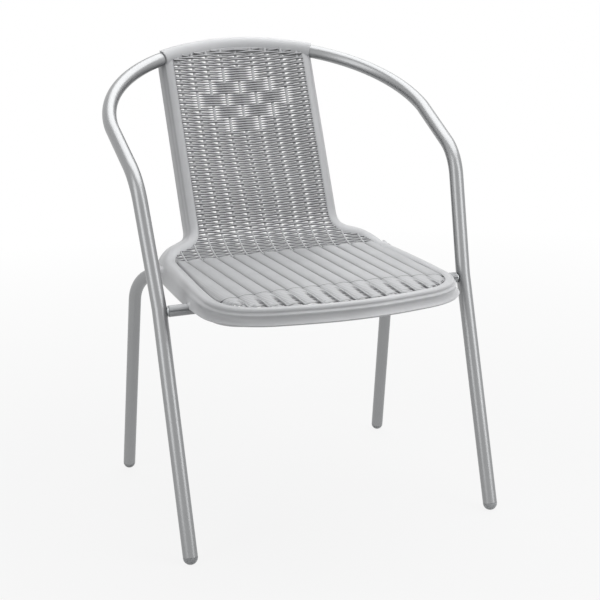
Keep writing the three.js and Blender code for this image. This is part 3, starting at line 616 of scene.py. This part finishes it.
weave = {
    "rowPitch": 4.1, "amplitude": 2.0, "strandHalfHeight": 1.98, "underHalfHeight": 0.8,
    "strandHalfThickness": 1.6, "strandSides": 8,
    "lensLength": 6.6, "heldLength": 15.0, "lensDrop": 0.9,
    "lensShift": 4.0, "shiftWidth": 40.0,  # gaps lean outwards with tanh of x over this width
    "edgeFade": 16.0, "underRim": 1.0,
    "shadeLevel": 0.15, "shadeSwing": 1.2,  # shade round a strand, deepest on its lower edge
    "shortestHalfRow": 20.0, "underSeat": 2.0,
    "backSamples": 112, "hipSamples": 168, "frontSamples": 224,
}
lattice = {  # round the bend, where the strands lie flatter
    "from": 90.0, "full": 50.0, "halfHeight": 1.7, "underHeight": 1.25, "swing": 0.3, "dip": 1.2,
    "shade": 0.6,
}
frontBand = {  # the open rows in front of the closed part
    "rowPitch": 6.6,
    "firstRow": 160,  # number of its first row, past those of the hips
    "fade": 45.0, "shift": 3.5, "widen": 2.0, "halfHeight": 4.3, "underHeight": 3.2, "sink": 2.4,
    "edge": 8.0, "edgeDrop": 2.2, "stakeSink": 2.2,
    "shade": 0.1, "wallBelow": 0.5,  # a gap's wall gets painted shade where the strand's cosine is less
}
closedSeat = {
    "from": 11.0, "openAgain": -236.0, "thickness": 2.4,
    "ribHeight": 3.0, "ribPower": 0.6, "ribSink": 0.8, "rowHeight": 0.8,
    "edgeWidth": 5.0, "edgeDrop": 2.2, "valleyShade": 0.5, "rowShade": 0.2,
    "outerStake": 6, "perRib": 14, "perRow": 6,  # the last two are samples
}
diamond = {"firstRow": 9, "rowsPerBlock": 5, "blockWidths": [1, 2, 3, 2, 1]}
stakes = {
    "pitchBack": 26.25, "pitchBend": 25.7, "pitchFront": 24.4, "bendAt": 60.0,
    "halfWidth": 2.4, "slimHalfWidth": 1.5, "halfThickness": 1.4, "overlap": 3.0,
    "hipTops": [45.0, 56.0, 56.0, 45.0],
    "backSamples": 150, "hipSamples": 12, "frontSamples": 30,
}


def stakePitch(v):
    # distance between stakes, in straight lines between its values at the front, the bend and the top
    return np.interp(v, [-frontReach, stakes["bendAt"], shell["topHeight"]],
                     [stakes["pitchFront"], stakes["pitchBend"], stakes["pitchBack"]])


def rowAt(j):
    # rows count down from the top edge; the wider rows of the front edge have numbers of their own
    front = closedSeat["openAgain"] - frontBand["rowPitch"] * (j - frontBand["firstRow"] + 0.5)
    return np.where(j < frontBand["firstRow"], shell["topHeight"] - weave["rowPitch"] * (j + 0.5), front)


def rowSign(j, k):
    # +1 where row j passes in front of stake k and -1 behind it; the diamond holds its blocks of rows
    sign = np.where((j + k) % 2 == 0, 1, -1)
    widths = np.array(diamond["blockWidths"])
    block = (j - diamond["firstRow"]) // diamond["rowsPerBlock"]
    inside = (block >= 0) & (block < len(widths))
    width = widths[np.clip(block, 0, len(widths) - 1)]
    held = inside & (np.abs(k) <= width)
    return np.where(held, np.where((k - width) % 2 == 0, -1, 1), sign)


def ribRise(share):
    # a rib's height across one stake space: a flattened half sine between two valleys
    crest = np.sin(np.pi * np.clip(share, 0, 1)) ** closedSeat["ribPower"]
    return closedSeat["ribHeight"] * crest - closedSeat["ribSink"]


def valleyShade(share):
    # painted shade, growing with the square of a place's depth below the rib's crest
    below = 1 - (ribRise(share) + closedSeat["ribSink"]) / closedSeat["ribHeight"]
    return closedSeat["valleyShade"] * below ** 2


def inFrontBand(v):
    # true in front of the closed part and one fine row into it
    return v < closedSeat["openAgain"] + weave["rowPitch"]


def bandShare(v):
    # grows from 0 to 1 over the first rows in front of the closed part
    return smoothStep((closedSeat["openAgain"] - v) / frontBand["fade"])


def latticeShare(v):
    # grows from 0 to 1 round the bend, where the rows turn from leaning to lying
    return smoothStep((lattice["from"] - v) / (lattice["from"] - lattice["full"]))


def lensAt(j, v, x):
    # how far row j is drawn in beside each stake that it passes behind, and how far that part drops:
    # one minus a smooth step of the distance from the stake, and none close to the rim
    place = x / stakePitch(v)
    left = np.floor(place).astype(int)
    band = inFrontBand(v)
    lean = np.where(band, -frontBand["shift"], np.tanh(x / weave["shiftWidth"]) * weave["lensShift"])
    narrow, drop = np.zeros_like(x), np.zeros_like(x)
    for step in (-1, 0, 1, 2):
        signs = [rowSign(j + other, left + step) for other in (-1, 0, 1)]
        held = ((signs[0] == signs[1]) | (signs[1] == signs[2])) & (v > waistTop)
        far = (place - (left + step)) * stakePitch(v) - np.where(held, 0, lean)
        length = weave["lensLength"] + np.where(band, frontBand["widen"] * bandShare(v), 0)
        far = np.abs(far) / np.where(held, weave["heldLength"], length)
        lens = (signs[1] < 0) * (1 - smoothStep(far))
        drop = np.where(lens > narrow, weave["lensDrop"] * lens * ~held, drop)
        narrow = np.maximum(narrow, lens)
    return narrow * smoothStep((halfWidth(v) - np.abs(x)) / weave["edgeFade"]), drop


def strandSurface(j, samples):
    # row j runs across the field. Its distance from the surface swings between the stakes; where it
    # dips behind one it narrows, which opens a lens-shaped gap beside the stake. Towards the front
    # edge the rows lie close, follow the ribs and only sink beside the stakes.
    v, j = rowAt(j)[:, None], j[:, None]
    x = np.linspace(-1, 1, samples)[None] * (halfWidth(v) + weave["underRim"])
    place = x / stakePitch(v)
    left = np.floor(place).astype(int)
    share = place - left
    band = inFrontBand(v)
    depth = bandShare(v)
    bent = np.where(band, 0, latticeShare(v))
    swing = mix(rowSign(j, left).astype(float), rowSign(j, left + 1), smoothStep(share)) * weave["amplitude"]
    swing = swing * mix(1, lattice["swing"], bent) - bent * lattice["dip"]
    narrow, drop = lensAt(j, v, x)
    following, _ = lensAt(j + 1, v, x)
    inside = smoothStep(np.minimum(v - frontEdgeAt(x), halfWidth(v) - np.abs(x)) / frontBand["edge"])
    level = mix(-frontBand["edgeDrop"], ribRise(share), inside) - weave["strandHalfThickness"]
    sunk = np.where(band, level - frontBand["sink"] * depth * narrow, swing)
    wide = mix(weave["strandHalfHeight"], lattice["halfHeight"], bent)
    wide = np.where(band, frontBand["halfHeight"], wide)
    thin = mix(weave["underHalfHeight"], lattice["underHeight"], bent)
    thin = np.where(band, frontBand["underHeight"], thin)
    half = mix(wide, thin, narrow * np.where(band, depth, 1))
    angle = fullTurn(weave["strandSides"])
    vAround = (v - drop)[..., None] + half[..., None] * np.cos(angle)
    hAround = sunk[..., None] + weave["strandHalfThickness"] * np.sin(angle)
    # painted shade: darkest on each strand's lower edge, on the walls of the gaps behind the sunk front
    # rows, and in the front rows' rib valleys
    lowerEdge = np.clip(weave["shadeLevel"] - weave["shadeSwing"] * np.cos(angle), 0, 1)
    shade = np.where(band, frontBand["shade"], mix(1, lattice["shade"], bent))[..., None]
    wall = following[..., None] * (np.cos(angle) < frontBand["wallBelow"]) * (depth * band)[..., None]
    paintedShade = np.maximum(np.maximum(lowerEdge * shade, wall), (valleyShade(share) * band)[..., None])
    return shellPoint(x[..., None], vAround, hAround), paintedShade


def stakeSurface(numbers, vFrom, vTo, samples, sides=10):
    # upright stakes: a flat oval carried along the surface, slimmer round the bend and buried where
    # the front rows begin
    k = numbers[:, None]
    start = np.asarray(vFrom, float)
    v = start[:, None] + np.linspace(0, 1, samples)[None] * (vTo - start)[:, None]
    angle = fullTurn(sides)
    slim = mix(stakes["halfWidth"], stakes["slimHalfWidth"], latticeShare(v))
    x = (k * stakePitch(v))[..., None] + slim[..., None] * np.cos(angle)
    buried = np.where(inFrontBand(v), frontBand["stakeSink"] * (1 - bandShare(v)), 0)
    h = -buried[..., None] + stakes["halfThickness"] * np.sin(angle)
    return shellPoint(x, v[..., None], h)


def closedSeatSurface():
    # the closed part of the seat: rounded ribs that meet in a valley over each stake, crossed by the
    # fine rows; ring = top skin from left to right, then the underside back again
    perRib, outer = closedSeat["perRib"], closedSeat["outerStake"]
    length = closedSeat["from"] - closedSeat["openAgain"]
    rows = int(length / frontBand["rowPitch"] * closedSeat["perRow"])
    v = np.linspace(closedSeat["from"], closedSeat["openAgain"], rows)[:, None]
    step = np.arange(-(outer + 1) * perRib, (outer + 1) * perRib + 1) / perRib
    reach = (halfWidth(v) + weave["underRim"]) / stakePitch(v)
    beyond = np.clip(np.abs(step) - outer, 0, 1)
    place = np.sign(step) * (np.minimum(np.abs(step), outer) + beyond * (reach - outer))
    x = place * stakePitch(v)
    share = np.abs(place) - np.floor(np.abs(place))
    row = np.abs(np.cos(np.pi * (v - closedSeat["openAgain"]) / frontBand["rowPitch"]))
    edge = smoothStep((reach - np.abs(place)) * stakePitch(v) / closedSeat["edgeWidth"])
    top = mix(-closedSeat["edgeDrop"], ribRise(share) + closedSeat["rowHeight"] * (1 - row), edge)
    bottom = np.full_like(top, -closedSeat["thickness"] - closedSeat["ribSink"])
    ringX = np.concatenate([x, x[:, ::-1]], 1)
    ringH = np.concatenate([top, bottom], 1)
    # painted shade in the rib valleys and between the fine rows, full at the field's edge and over the whole
    # underside
    valley = valleyShade(share) + closedSeat["rowShade"] * row ** 4
    paintedShade = np.concatenate([valley * edge + 1 - edge, np.ones_like(bottom)], 1)
    return shellPoint(ringX, np.broadcast_to(v, ringX.shape), ringH), paintedShade


allRows = np.arange(int((shell["topHeight"] + frontReach) / weave["rowPitch"]))
rowV = rowAt(allRows)
backRows = allRows[(rowV > waistTop) & (halfWidth(rowV) > weave["shortestHalfRow"])]
hipRows = allRows[(rowV <= waistTop) & (rowV > closedSeat["from"] - weave["underSeat"])]
frontCount = int((frontReach + closedSeat["openAgain"]) / frontBand["rowPitch"])
frontRows = frontBand["firstRow"] + np.arange(frontCount)
for name, rows, samples in (
        ("backWeave", backRows, weave["backSamples"]),
        ("hipWeave", hipRows, weave["hipSamples"]),
        ("frontWeave", frontRows, weave["frontSamples"])):
    strands, paintedShade = strandSurface(rows, samples)
    buildPiece(name, strands, wovenPlastic, ["seat_shell"], paintedShade=paintedShade)
seatPoints, seatPaintedShade = closedSeatSurface()
buildPiece("closedSeat", seatPoints, wovenPlastic, ["seat_shell"], "strip", 60, seatPaintedShade)

stakeEnd = closedSeat["from"] - stakes["overlap"]
backStakes = np.arange(-4, 5)
stakeTops = topEdgeAt(backStakes * stakes["pitchBack"]) + weave["underRim"]
hipStakes = np.array([-6, -5, 5, 6])
frontStakes = np.arange(-6, 7)
frontStarts = np.full(len(frontStakes), closedSeat["openAgain"] + stakes["overlap"])
frontEnds = frontEdgeAt(frontStakes * stakes["pitchFront"]) - weave["underRim"]
for name, numbers, vFrom, vTo, samples in (
        ("backStakes", backStakes, stakeTops, stakeEnd, stakes["backSamples"]),
        ("hipStakes", hipStakes, stakes["hipTops"], stakeEnd, stakes["hipSamples"]),
        ("frontStakes", frontStakes, frontStarts, frontEnds, stakes["frontSamples"])):
    buildPiece(name, stakeSurface(numbers, vFrom, vTo, samples), wovenPlastic, ["seat_shell"])
print("weave made:", len(backRows) + len(hipRows) + len(frontRows), "open rows")


# Sleeve over the rear bow

def sleeveSurface(stations=90, steps=40):
    # C section carried along the bow, its slot on the upper rear side: an arc from the crest over the
    # front and the underside and up behind; outer skin first, then the inner one
    limit = math.asin(sleeve["halfWidth"] / hoop["bowHalfWidth"])
    angle = np.linspace(-limit, limit, stations)
    forward = unit(np.stack([hoop["bowHalfWidth"] * np.cos(angle), -bowDepth * np.sin(angle),
                             -hoop["bowRise"] * np.sin(angle)], -1))
    backNormal = np.array([0, -math.sin(backAngle), math.cos(backAngle)])
    front = unit(backNormal - (forward @ backNormal)[:, None] * forward)
    down = -np.cross(front, forward)
    share = np.linspace(0, 1, steps)
    skins = []
    for radius in (sleeve["outer"], sleeve["inner"]):
        start = -math.acos(sleeve["slotFront"] / radius)
        end = math.pi + math.acos(sleeve["slotBack"] / radius)
        turn = mix(start, end, share)
        skins.append(np.stack([radius * np.cos(turn), radius * np.sin(turn)], -1))
    ring = np.concatenate([skins[0], skins[1][::-1]])
    return bowPoint(angle)[:, None] + ring[:, :1] * front[:, None] + ring[:, 1:] * down[:, None]


buildPiece("bowSleeve", sleeveSurface(), shellPlastic, ["seat_shell"], ends="strip")
print("sleeve made")


# Turned pieces: foot caps, bosses, spacers

def turnedSurface(outline, origin, axis, sides=40):
    # outline of (radius, height) pairs spun round an upright or leaning axis at the origin
    axis = unit(np.asarray(axis, float))
    side = unit(np.cross(axis, [1.0, 0, 0]))
    above = np.cross(axis, side)
    outline = np.asarray(outline, float)
    angle = fullTurn(sides)
    circle = np.cos(angle)[:, None] * side + np.sin(angle)[:, None] * above
    return origin + outline[:, None, 1:] * axis + outline[:, None, :1] * circle


cap = {
    "wall": 1.9, "plugLength": 16.0, "plugChamfer": 1.0, "plugFoot": 0.08,
    "shoulder": 0.1, "shoulderHeight": 0.05, "poleAngle": 0.04, "domeSteps": 16,
}


def capSurface(centre, upward, radius):
    # dome below the end of the tube with a small flat on the floor, a narrow shoulder and a plug
    turn = np.linspace(cap["poleAngle"], np.pi / 2, cap["domeSteps"])
    dome = np.stack([radius * np.sin(turn), -radius * np.cos(turn)], -1)
    plug = radius - cap["wall"]
    top = [(radius - cap["shoulder"], cap["shoulderHeight"]), (plug, cap["plugFoot"]),
           (plug, cap["plugLength"]), (plug - cap["plugChamfer"], cap["plugLength"] + cap["plugChamfer"])]
    points = turnedSurface(np.concatenate([dome, top]), centre, upward)
    points[..., 2] = np.maximum(points[..., 2], 0)
    return points


for name, centre, upward, radius in (("front", hoopCap, hoopUp, hoop["radius"]),
                                     ("rear", rearCap, rearUp, rear["radius"])):
    for sideName, side in (("right", 1), ("left", -1)):
        flip = np.array([side, 1, 1])
        end = name + "_" + sideName
        buildPiece("footCap_" + end, capSurface(centre * flip, upward * flip, radius), capPlastic,
                   ["foot_cap_" + end])

boss = {
    "radius": 7.0, "rearY": -30.0, "frontX": 70.0, "topGap": 0.6, "chamfer": 0.8,
    "flare": 1.5, "flareHeight": 2.0, "sides": 28,
}


def bossSurface(place):
    # screw boss from just above the rail at the place to just below the seat, flared at its top
    foot = place + [0, 0, rear["radius"] + clearance]
    height = shell["seatHeight"] - shell["wall"] - foot[2] - boss["topGap"]
    outline = [(boss["radius"] - boss["chamfer"], 0), (boss["radius"], boss["chamfer"]),
               (boss["radius"], height - boss["flareHeight"]), (boss["radius"] + boss["flare"], height)]
    return turnedSurface(outline, foot, [0, 0, 1], boss["sides"])


bossPlaces = [railAt(boss["rearY"] - middleY), np.array([boss["frontX"], crossCorner[1], crossCorner[2]])]
bossPlaces = bossPlaces + [mirrored(place) for place in bossPlaces]
bosses = np.array([bossSurface(place) for place in bossPlaces])
buildPiece("seatBosses", bosses, shellPlastic, ["seat_shell"])


def spacerSurface():
    # round bar with four flutes, saddled against the rail, from the rail to the rivet nut's flange;
    # a flute's depth falls off by a smooth step of the distance from its middle
    flutes = spacer["flutes"]
    angle = fullTurn(spacer["sides"])
    fromFlute = np.abs((angle * flutes / (2 * np.pi) + 0.5) % 1 - 0.5) * 2 * np.pi / flutes
    past = fromFlute * spacer["radius"] - spacer["fluteWidth"] / 2 + spacer["fluteLead"]
    inFlute = 1 - smoothStep(past / spacer["fluteEdge"])
    radius = spacer["radius"] - spacer["fluteDepth"] * inFlute
    y, z = radius * np.cos(angle + spacer["turn"]), radius * np.sin(angle + spacer["turn"])
    startX = railBolt[0] + np.sqrt((rear["radius"] + clearance) ** 2 - z ** 2)
    endX = boltAxis[0] - hoop["radius"] - 2 * clearance - spacer["flange"]
    trim = spacer["chamfer"] / spacer["radius"]
    xs = [startX, startX + spacer["saddleBevel"],
          np.full_like(startX, endX - spacer["chamfer"]), np.full_like(startX, endX)]
    shrink = [1 - trim / 2, 1, 1, 1 - trim]
    rings = [np.stack([x, boltAxis[1] + y * s, boltAxis[2] + z * s], -1) for x, s in zip(xs, shrink)]
    return np.array(rings)


buildPiece("spacer_right", spacerSurface(), spacerPlastic, ["spacer_right"])
buildPiece("spacer_left", mirrored(spacerSurface()), spacerPlastic, ["spacer_left"])
zincParts = ("rivet_nut", "bolt_washer", "side_bolt", "seat_screw", "sleeve_screw")
for name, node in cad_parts.items():
    if name.startswith(zincParts):
        for slot in node.material_slots:
            slot.material = zinc
print("small parts made")


# Floor, light and camera, in metres

studio = {
    "worldLight": 0.14, "floorSize": 60.0, "floorGlow": 0.88, "floorColour": "#bdbdbd",
    "glowNear": 0.5, "glowFar": 2.2,
}
lamps = {
    "rightSoftbox": {"place": (1.25, -1.45, 1.3), "target": (0, 0, 0.9), "size": (1.0, 2.4), "power": 15.0},
    "leftSoftbox": {"place": (-1.7, -0.9, 1.3), "target": (0, 0, 0.9), "size": (1.0, 2.4), "power": 12.0},
    "topSoftbox": {"place": (0.7, 0.4, 2.5), "target": (0, 0, 0.4), "size": (3.0, 2.6), "power": 55.0},
}


def seenDirectly(tree):
    # the greatest of three flags: 1 for camera, mirror and glass rays, 0 for those that only light
    path = addNode(tree, "ShaderNodeLightPath")
    seen = addNode(tree, "ShaderNodeMath", {"operation": "MAXIMUM"},
                   {0: path.outputs["Is Camera Ray"], 1: path.outputs["Is Glossy Ray"]})
    seen = addNode(tree, "ShaderNodeMath", {"operation": "MAXIMUM"},
                   {0: seen.outputs[0], 1: path.outputs["Is Transmission Ray"]})
    return seen.outputs[0]


def addStage():
    # matt floor that glows almost white where it is seen, more so further from the chair
    mesh = bpy.data.meshes.new("studioFloor")
    half = studio["floorSize"] / 2
    corners = [(-half, -half, 0), (half, -half, 0), (half, half, 0), (-half, half, 0)]
    mesh.from_pydata(corners, [], [(0, 1, 2, 3)])
    floor = bpy.data.objects.new("studioFloor", mesh)
    bpy.context.scene.collection.objects.link(floor)
    material, tree = newMaterial("paintedStudioFloor")
    seen = seenDirectly(tree)
    place = addNode(tree, "ShaderNodeTexCoord").outputs["Object"]
    far = addNode(tree, "ShaderNodeVectorMath", {"operation": "LENGTH"}, {0: place})
    fade = {"From Min": studio["glowNear"], "From Max": studio["glowFar"],
            "To Min": studio["floorGlow"], "To Max": 1.0}
    white = addNode(tree, "ShaderNodeMapRange", fade, {"Value": far.outputs["Value"]})
    share = addNode(tree, "ShaderNodeMath", {"operation": "MULTIPLY"}, {0: seen, 1: white.outputs["Result"]})
    matt = addNode(tree, "ShaderNodeBsdfDiffuse", {"Color": hexToLinear(studio["floorColour"])})
    glow = addNode(tree, "ShaderNodeEmission", {"Color": (1, 1, 1, 1), "Strength": 1.0})
    both = addNode(tree, "ShaderNodeMixShader", None,
                   {0: share.outputs[0], 1: matt.outputs[0], 2: glow.outputs[0]})
    addNode(tree, "ShaderNodeOutputMaterial", None, {"Surface": both.outputs[0]})
    mesh.materials.append(material)


def addWorld():
    # white where it is seen, and a weaker even light on the chair
    world = bpy.data.worlds.new("studioWorld")
    world.use_nodes = True
    tree = world.node_tree
    tree.nodes.clear()
    strength = addNode(tree, "ShaderNodeMapRange", {"To Min": studio["worldLight"], "To Max": 1.0},
                       {"Value": seenDirectly(tree)})
    light = addNode(tree, "ShaderNodeBackground", {"Color": (1, 1, 1, 1)},
                    {"Strength": strength.outputs["Result"]})
    addNode(tree, "ShaderNodeOutputWorld", None, {"Surface": light.outputs[0]})
    bpy.context.scene.world = world


def placeByAxes(item, right, above, back, place):
    # the object's matrix from its three directions and its place
    rows = [[right[i], above[i], back[i], place[i]] for i in range(3)]
    item.matrix_world = Matrix(rows + [[0, 0, 0, 1]])
    bpy.context.scene.collection.objects.link(item)


def addLamp(name, settings):
    # level rectangular softbox that faces its target and isn't seen itself
    data = bpy.data.lights.new(name, "AREA")
    data.shape = "RECTANGLE"
    data.size, data.size_y = settings["size"]
    data.energy = settings["power"]
    lamp = bpy.data.objects.new(name, data)
    lamp.visible_camera = False
    away = unit(np.subtract(settings["place"], settings["target"]))
    right = unit(np.cross([0, 0, 1.0], away))
    placeByAxes(lamp, right, np.cross(away, right), away, settings["place"])


camera = {
    "place": (-0.6999, -1.9532, 0.8426), "azimuth": -20.064, "elevation": 14.227, "roll": -1.713,
    "lens": 80.64, "sensor": 36.0, "shiftX": -0.0023, "shiftY": 0.0040, "clipEnd": 200,
}


def addCamera():
    # looks back along azimuth and elevation, then rolls about that line
    azimuth, elevation, roll = (math.radians(camera[key]) for key in ("azimuth", "elevation", "roll"))
    level = math.cos(elevation)
    back = np.array([math.sin(azimuth) * level, -math.cos(azimuth) * level, math.sin(elevation)])
    right = np.array([math.cos(azimuth), math.sin(azimuth), 0])
    above = np.cross(back, right)
    rolledRight = math.cos(roll) * right + math.sin(roll) * above
    rolledAbove = -math.sin(roll) * right + math.cos(roll) * above
    data = bpy.data.cameras.new("camera")
    data.lens, data.sensor_width = camera["lens"], camera["sensor"]
    data.shift_x, data.shift_y = camera["shiftX"], camera["shiftY"]
    data.clip_end = camera["clipEnd"]
    eye = bpy.data.objects.new("camera", data)
    placeByAxes(eye, rolledRight, rolledAbove, back, camera["place"])
    bpy.context.scene.camera = eye


addStage()
addWorld()
for name, settings in lamps.items():
    addLamp(name, settings)
addCamera()
bpy.context.scene.view_settings.view_transform = "Standard"
print("studio made")
